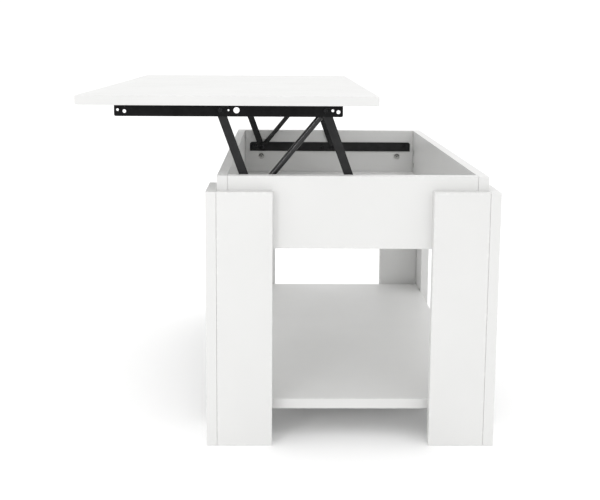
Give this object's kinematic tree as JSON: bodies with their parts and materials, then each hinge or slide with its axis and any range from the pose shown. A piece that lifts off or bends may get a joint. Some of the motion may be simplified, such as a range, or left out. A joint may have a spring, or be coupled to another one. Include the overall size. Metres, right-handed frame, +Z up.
{
  "type": "lift top coffee table",
  "caption": "Rectangular coffee table on L-shaped board legs, with a lower shelf and a storage box whose top swings up and sideways on steel parallel arms.",
  "frame": {"origin": "on the floor, under the middle of the outline of the table with its top raised, which is 107 mm to the left of the middle of the legs", "axes": "+Z up; +Y along the table's length, away from the viewer of the picture; +X across the table, with the raised top moved towards -X"},
  "size_m": [0.714, 0.862, 0.6092],
  "materials": {
    "board": "satin white melamine facing",
    "black_steel": "black powder coat",
    "pivot_steel": "blackened steel",
    "sleeve_plastic": "black plastic tube",
    "cam_zinc": "bright zinc die-casting"
  },
  "bodies": {
    "carcass": {"leg_side_board_near_left": "board", "leg_end_board_near_left": "board", "leg_side_board_near_right": "board", "leg_end_board_near_right": "board", "leg_side_board_far_left": "board", "leg_end_board_far_left": "board", "leg_side_board_far_right": "board", "leg_end_board_far_right": "board", "box_side_panel_left": "board", "box_side_panel_right": "board", "box_end_panel_near": "board", "box_end_panel_far": "board", "box_floor": "board", "shelf": "board", "cam_lock_left_near_upper": "cam_zinc", "cam_lock_left_near_lower": "cam_zinc", "cam_lock_left_far_upper": "cam_zinc", "cam_lock_left_far_lower": "cam_zinc", "cam_lock_right_near_upper": "cam_zinc", "cam_lock_right_near_lower": "cam_zinc", "cam_lock_right_far_upper": "cam_zinc", "cam_lock_right_far_lower": "cam_zinc", "cam_lock_near_left": "cam_zinc", "cam_lock_near_right": "cam_zinc", "cam_lock_far_left": "cam_zinc", "cam_lock_far_right": "cam_zinc", "base_rail_near": "black_steel", "base_rail_far": "black_steel", "rail_screw_near_left": "pivot_steel", "rail_screw_near_middle": "pivot_steel", "rail_screw_near_right": "pivot_steel", "rail_screw_far_left": "pivot_steel", "rail_screw_far_middle": "pivot_steel", "rail_screw_far_right": "pivot_steel", "stop_pin_near": "pivot_steel", "stop_pin_far": "pivot_steel", "pivot_base_front_near": "pivot_steel", "pivot_base_front_far": "pivot_steel", "pivot_base_rear_near": "pivot_steel", "pivot_base_rear_far": "pivot_steel"},
    "front_arms": {"front_arm_near": "black_steel", "front_arm_far": "black_steel"},
    "rear_arms": {"rear_arm_near": "black_steel", "rear_arm_far": "black_steel"},
    "top": {"top_panel": "board", "top_rail_near": "black_steel", "top_rail_far": "black_steel", "top_screw_near_left": "pivot_steel", "top_screw_near_right": "pivot_steel", "top_screw_far_left": "pivot_steel", "top_screw_far_right": "pivot_steel", "pivot_top_front_near": "pivot_steel", "pivot_top_front_far": "pivot_steel", "pivot_top_rear_near": "pivot_steel", "pivot_top_rear_far": "pivot_steel"},
    "spring_sleeves": {"spring_sleeve_near": "sleeve_plastic", "spring_sleeve_far": "sleeve_plastic"},
    "springs": {"tension_spring_near": "pivot_steel", "tension_spring_far": "pivot_steel"}
  },
  "joints": [
    {"name": "lift", "type": "hinge", "parent": "carcass", "child": "front_arms", "pos_m": [-0.06439, 0, 0.4302], "axis": [0, 1, 0], "range_deg": [0, 98.2]},
    {"name": "top_level", "type": "hinge", "parent": "front_arms", "child": "top", "pos_m": [-0.1198, 0, 0.58243], "axis": [0, 1, 0], "range_deg": [-98.2, 0]},
    {"name": "rear_lift", "type": "hinge", "parent": "carcass", "child": "rear_arms", "pos_m": [0.1158, 0, 0.4302], "axis": [0, 1, 0], "range_deg": [0, 98.2]},
    {"name": "sleeve_swing", "type": "hinge", "parent": "carcass", "child": "spring_sleeves", "pos_m": [-0.06439, 0, 0.4302], "axis": [0, 1, 0], "range_deg": [0, 45]},
    {"name": "spring_swing", "type": "hinge", "parent": "rear_arms", "child": "springs", "pos_m": [0.06039, 0, 0.58243], "axis": [0, 1, 0], "range_deg": [-54, 0]}
  ],
  "couplings": [
    {"joint": "top_level", "follows": "lift", "ratio": -1},
    {"joint": "rear_lift", "follows": "lift", "ratio": 1},
    {"joint": "sleeve_swing", "follows": "lift", "ratio": 0.456},
    {"joint": "spring_swing", "follows": "lift", "ratio": -0.544}
  ]
}
